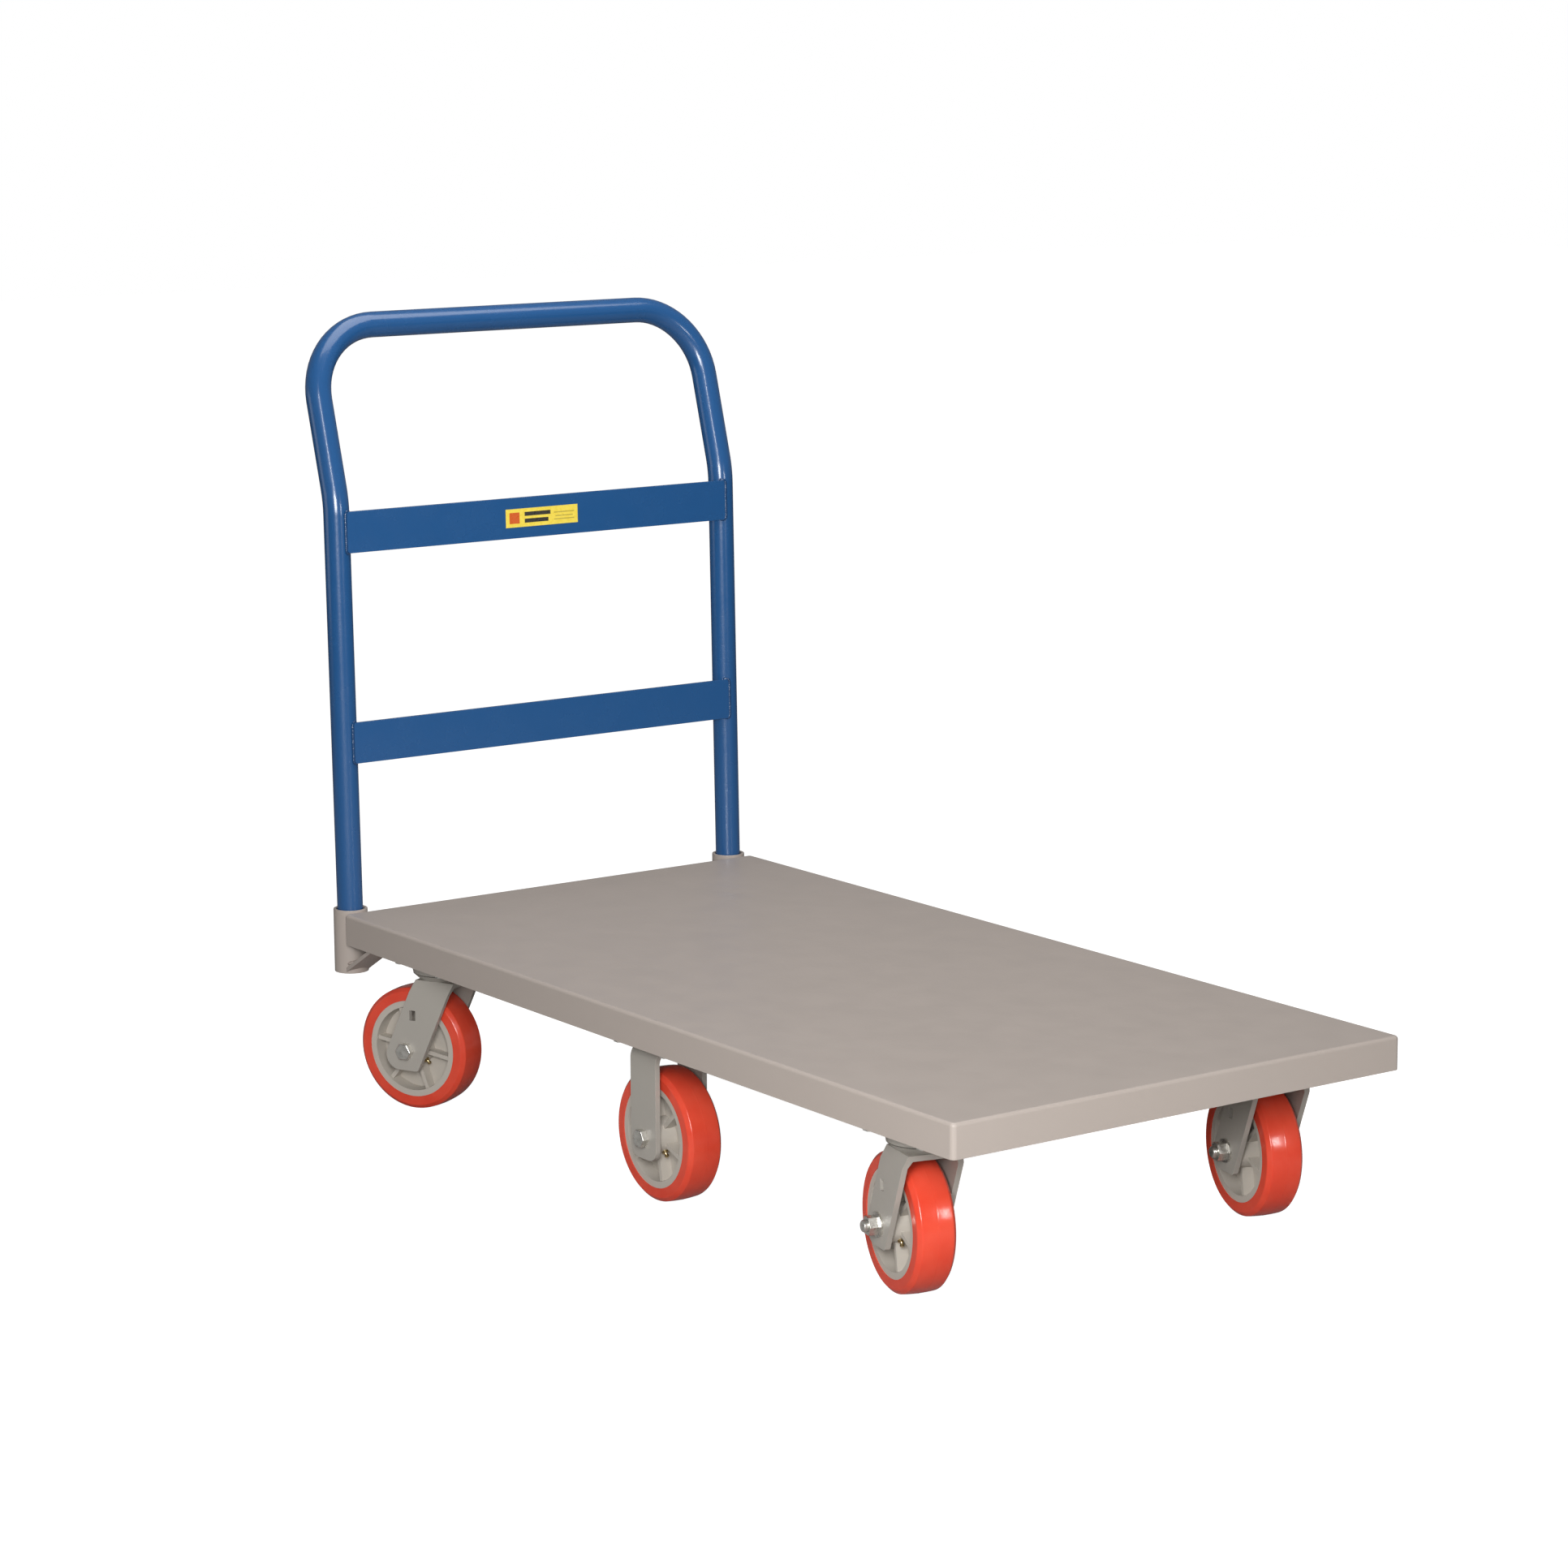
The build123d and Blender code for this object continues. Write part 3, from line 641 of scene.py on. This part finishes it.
def bead(builder, points, radius_mm):
    """Adds one rippled bead along a path to a bmesh."""
    rings = []
    travel = random.uniform(0, RIPPLE_PITCH)
    places = along(points, BEAD_STEP)
    for index, (place, heading) in enumerate(places):
        end_taper = min(1.0, 0.45 + 0.3 * min(index, len(places) - 1 - index))
        swell = 1 + 0.09 * math.cos(2 * math.pi * travel / RIPPLE_PITCH) + random.uniform(-0.05, 0.05)
        travel += BEAD_STEP
        frame_here = Matrix.Translation(place) @ heading.to_track_quat("Z", "Y").to_matrix().to_4x4()
        made = bmesh.ops.create_circle(
            builder,
            cap_ends=False,
            segments=BEAD_SIDES,
            radius=radius_mm * MM * swell * end_taper,
            matrix=frame_here,
        )
        rings.append({edge for vert in made["verts"] for edge in vert.link_edges})
    for first, second in zip(rings, rings[1:]):
        bmesh.ops.bridge_loops(builder, edges=list(first | second))
    bmesh.ops.holes_fill(builder, edges=list(rings[0] | rings[-1]), sides=0)


def beads(name, paths, body, material):
    """One piece made of all the beads in a list of (points, radius)."""
    builder = bmesh.new()
    for points, radius_mm in paths:
        bead(builder, points, radius_mm)
    bmesh.ops.recalc_face_normals(builder, faces=builder.faces)
    return put(builder, name, body, material, sharp_angle=70.0)


print("a bead ripples every", RIPPLE_PITCH, "mm")

# %% [markdown]
# ## Welds on the handle
# Each rail ends a few millimetres short of the middle of the leg, so its bead runs round
# three sides of the bar's end and lies on the tube. The handle leans, so the paths are set
# out in a frame that follows the line from the foot of the tube to its first bend.

# %% Rail welds
lift_axis = Vector(joints["handle_lift"]["axis"]).normalized()
lean_out = Vector((lift_axis.z, 0.0, -lift_axis.x))
socket_low, socket_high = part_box("handle_socket_right")
leg_x = (socket_low.x + socket_high.x) / 2
leg_y = (socket_high.y - socket_low.y) / 2 - socket_high.y
tube_low, tube_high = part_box("handle_tube")
tube_radius = (tube_high.y - tube_low.y) / 2 - leg_y
socket_middle_z = (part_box("socket_stops")[1].z + deck_high.z + 2 * MM) / 2
leg_foot = Vector((leg_x, 0.0, socket_middle_z))


def on_leg(side, inward_mm, height):
    """A point on the front of a leg, some way inward from its middle, at a height up the leg."""
    forward = math.sqrt(max(0.0, tube_radius**2 - (inward_mm * MM) ** 2))
    sideways = Vector((0, side * (leg_y - inward_mm * MM), 0))
    return leg_foot + lift_axis * height + lean_out * forward + sideways


rail_paths = []
for rail in ("lower_rail", "upper_rail"):
    low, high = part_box(rail)
    foot = (low.z - leg_foot.z + 0.2 * MM) / lift_axis.z
    head = (high.z - leg_foot.z) / lift_axis.z
    for side in (-1, 1):
        around = [
            on_leg(side, 10.5, foot),
            on_leg(side, 7.0, foot),
            on_leg(side, 4.0, foot + 1 * MM),
            on_leg(side, 3.4, foot + 4 * MM),
            on_leg(side, 3.4, head - 4 * MM),
            on_leg(side, 4.0, head - 1 * MM),
            on_leg(side, 7.0, head),
            on_leg(side, 10.5, head),
        ]
        behind = [on_leg(side, 11.4, foot + 2 * MM), on_leg(side, 11.4, head - 2 * MM)]
        rail_paths += [(around, 2.2), (behind, 1.8)]
beads("rail_weld_beads", rail_paths, body_of("handle_tube"), handle_coat)
print(len(rail_paths), "beads on the rails")

# %% [markdown]
# ## Welds on the frame
# Each socket touches the rear lip along one line, and a bead lies in the groove on either
# side of that line. The braces are welded across at both ends, and each rigid yoke is welded
# along both edges of its bar, under its plate.

# %% Frame welds
frame_paths = []
SOCKET_BEAD = 2.8
for side in (-1, 1):
    for offset in (-6.5, 6.5):
        seam_y = side * leg_y + offset * MM
        foot = Vector((deck_low.x - 0.8 * MM, seam_y, deck_low.z + 1.5 * MM))
        head = Vector((deck_low.x - 0.8 * MM, seam_y, deck_high.z - 3.0 * MM))
        frame_paths.append(([foot, head], SOCKET_BEAD))
for hand, side in (("right", -1), ("left", 1)):
    low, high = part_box(f"socket_brace_{hand}")
    for z in (high.z - 0.6 * MM, high.z - 6.4 * MM):
        near_end = Vector((high.x - 0.6 * MM, low.y + 2 * MM, z))
        far_end = Vector((high.x - 0.6 * MM, high.y - 2 * MM, z))
        frame_paths.append(([near_end, far_end], 1.9))
    pipe = (socket_high.x - socket_low.x) / 2
    wrap = []
    for degrees in range(-42, 43, 6):
        angle = math.radians(degrees)
        reach = math.cos(angle) * pipe
        slope = (high.z - low.z) / (high.x - low.x)
        rise = 7.5 * MM + (reach - pipe) * slope
        bead_y = side * leg_y + math.sin(angle) * pipe
        wrap.append(Vector((leg_x + reach, bead_y, low.z + rise + 6.2 * MM)))
    frame_paths.append((wrap, 2.0))
beads("frame_weld_beads", frame_paths, "root", deck_enamel)

yoke_paths = []
for side in ("right", "left"):
    low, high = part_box(f"rigid_yoke_{side}")
    core_at, _ = wheel_frame(f"middle_{side}")
    plate_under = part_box("rear_cross_channel")[0].z - 6.35 * MM
    for offset in (-25.0, 25.0):
        foot = Vector((core_at.x + offset * MM, core_at.y - 20 * MM, plate_under))
        head = Vector((core_at.x + offset * MM, core_at.y + 20 * MM, plate_under))
        yoke_paths.append(([foot, head], 2.4))
beads("yoke_weld_beads", yoke_paths, "root", caster_enamel)
print(len(frame_paths) + len(yoke_paths), "beads on the frame")

# %% [markdown]
# ## Threads and grease fittings
# The end of each axle bolt stands out of its nut, and its thread is turned as a zigzag
# section. Each hub has a grease fitting between two ribs: a foot, a waist, and a round nose
# that a grease gun snaps on to. The fitting is turned in one piece from (radius, height) pairs.

# %% Threads and fittings
THREAD_PITCH = 1.8
THREAD_COUNT = 2
FITTING_FOOT = [(0.0, 0.0), (3.4, 0.0), (3.6, 0.3), (3.6, 3.0)]
FITTING_WAIST = [(2.2, 3.8), (1.7, 5.6)]
FITTING_NOSE = [(2.6, 6.6), (2.6, 7.6), (1.6, 8.6), (0.0, 8.7)]
FITTING = FITTING_FOOT + FITTING_WAIST + FITTING_NOSE


def joined(builder, other):
    """Copies one bmesh into another and frees it."""
    spare = bpy.data.meshes.new("spare")
    other.to_mesh(spare)
    other.free()
    builder.from_mesh(spare)
    bpy.data.meshes.remove(spare)


for name in casters:
    centre, axle = wheel_frame(name)
    bolt = nodes[f"axle_bolt_{name}"].data
    reaches = [(vert.co - centre).dot(axle) for vert in bolt.vertices]
    out = axle if max(reaches) > -min(reaches) else -axle
    tip = centre + out * max(abs(reach) for reach in reaches)
    thread = bmesh.new()
    for turn_index in range(THREAD_COUNT):
        crest = tip - out * ((1.3 + THREAD_PITCH * turn_index + THREAD_PITCH / 2) * MM)
        section_here = [(6.0, -THREAD_PITCH / 2), (6.75, -0.15), (6.75, 0.15), (6.0, THREAD_PITCH / 2)]
        joined(thread, turned(section_here, crest, out, 40))
    yoke = f"swivel_yoke_{name}" if name in swivels else f"rigid_yoke_{name.split('_')[1]}"
    put(thread, f"axle_thread_{name}", body_of(yoke), zinc_plate, sharp_angle=30)

BOSS_RADIUS = 20.0
FITTING_PLACE = 15.0
FITTING_TURN = {"rear": -51.0, "middle": -40.0, "front": -40.0}
for name in casters:
    centre, axle = wheel_frame(name)
    side = -1 if name.endswith("right") else 1
    outward = axle * side if axle.y > 0 else -axle * side
    down = Vector((0, 0, -1))
    turn_now = Matrix.Rotation(math.radians(FITTING_TURN[name.split("_")[0]]), 3, axle)
    radial = turn_now @ down
    seat = centre + outward * (FITTING_PLACE * MM) + radial * ((BOSS_RADIUS - 0.5) * MM)
    fitting = turned(FITTING, seat, radial, 24, closed=False)
    put(fitting, f"grease_fitting_{name}", f"wheel_{name}", passivated, sharp_angle=35)
print("threads and fittings on", len(casters), "wheels")

# %% [markdown]
# ## The room
# A plain pale floor, a white world, and soft boxes. The key stands low beside the camera, a
# narrow strip above it draws the thin lights on the leaning tube, a small box in front puts a
# square light on the front treads, a wide one hangs over the deck, and a weak one at the side
# gives the bolt heads something to mirror. The world shows white to the camera and lights
# the truck less than that.


# %% Floor, world and lights
def soft_box(name, place, aim, width, height, watts):
    """An area light at a place, turned to face a point."""
    data = bpy.data.lights.new(name, "AREA")
    data.shape = "RECTANGLE"
    data.size = width
    data.size_y = height
    data.energy = watts
    light = bpy.data.objects.new(name, data)
    light.location = place
    light.rotation_mode = "QUATERNION"
    light.rotation_quaternion = (Vector(aim) - Vector(place)).to_track_quat("-Z", "Y")
    bpy.context.scene.collection.objects.link(light)
    return light


soft_box("low key box", (2.2, -1.9, 1.1), (0.1, 0.0, 0.2), 1.0, 0.8, 66)
soft_box("high strip box", (2.6, -2.1, 2.27), (-0.6, -0.1, 0.8), 0.2, 0.9, 14)
soft_box("front box", (2.65, 0.5, 0.86), (0.6, 0.0, 0.12), 0.3, 0.5, 9)
soft_box("overhead box", (-0.1, 0.1, 2.2), (0.0, 0.0, 0.2), 1.8, 1.4, 24)
soft_box("side fill box", (-2.0, -2.4, 0.7), (-0.2, -0.2, 0.2), 1.2, 0.9, 3)

world = bpy.data.worlds.new("white studio")
world.use_nodes = True
bpy.context.scene.world = world
world.node_tree.nodes.clear()
sight = add(world.node_tree, "ShaderNodeLightPath")
seen = add(world.node_tree, "ShaderNodeBackground", {"Color": (1, 1, 1, 1), "Strength": 1.0})
mirrored = add(world.node_tree, "ShaderNodeBackground", {"Color": (1, 1, 1, 1), "Strength": 0.2})
felt = add(world.node_tree, "ShaderNodeBackground", {"Color": (1, 1, 1, 1), "Strength": 0.09})
for_light = add(
    world.node_tree,
    "ShaderNodeMixShader",
    links={0: sight.outputs["Is Diffuse Ray"], 1: mirrored.outputs[0], 2: felt.outputs[0]},
)
both = add(
    world.node_tree,
    "ShaderNodeMixShader",
    links={0: sight.outputs["Is Camera Ray"], 1: for_light.outputs[0], 2: seen.outputs[0]},
)
add(world.node_tree, "ShaderNodeOutputWorld", links={"Surface": both.outputs[0]})

FLOOR_HALF = 14.0
floor_builder = bmesh.new()
bmesh.ops.create_grid(floor_builder, x_segments=2, y_segments=2, size=FLOOR_HALF)
floor_mesh = bpy.data.meshes.new("floor")
floor_builder.to_mesh(floor_mesh)
floor_builder.free()
floor = bpy.data.objects.new("floor", floor_mesh)
bpy.context.scene.collection.objects.link(floor)
floor_paper, tree, output, place = new_material("white seamless paper")
fibre = add(tree, "ShaderNodeTexNoise", {"Scale": per_metre(400), "Detail": 2.0}, {"Vector": place})
paper_tone = ramp(tree, fibre.outputs["Fac"], [(0.3, linear("#A6A5A3")), (0.7, linear("#ABAAA8"))])
shader = add(tree, "ShaderNodeBsdfPrincipled", {"Roughness": 0.9}, {"Base Color": paper_tone})
eye = add(tree, "ShaderNodeLightPath")
lift = maths(tree, "MULTIPLY", eye.outputs["Is Camera Ray"], 0.985)
glow = add(tree, "ShaderNodeEmission", {"Color": (1, 1, 1, 1)}, {"Strength": lift})
lifted = add(tree, "ShaderNodeAddShader", links={0: shader.outputs["BSDF"], 1: glow.outputs[0]})
tree.links.new(lifted.outputs[0], output.inputs["Surface"])
floor_mesh.materials.append(floor_paper)
bpy.context.scene.view_settings.view_transform = "Standard"
print("room ready")
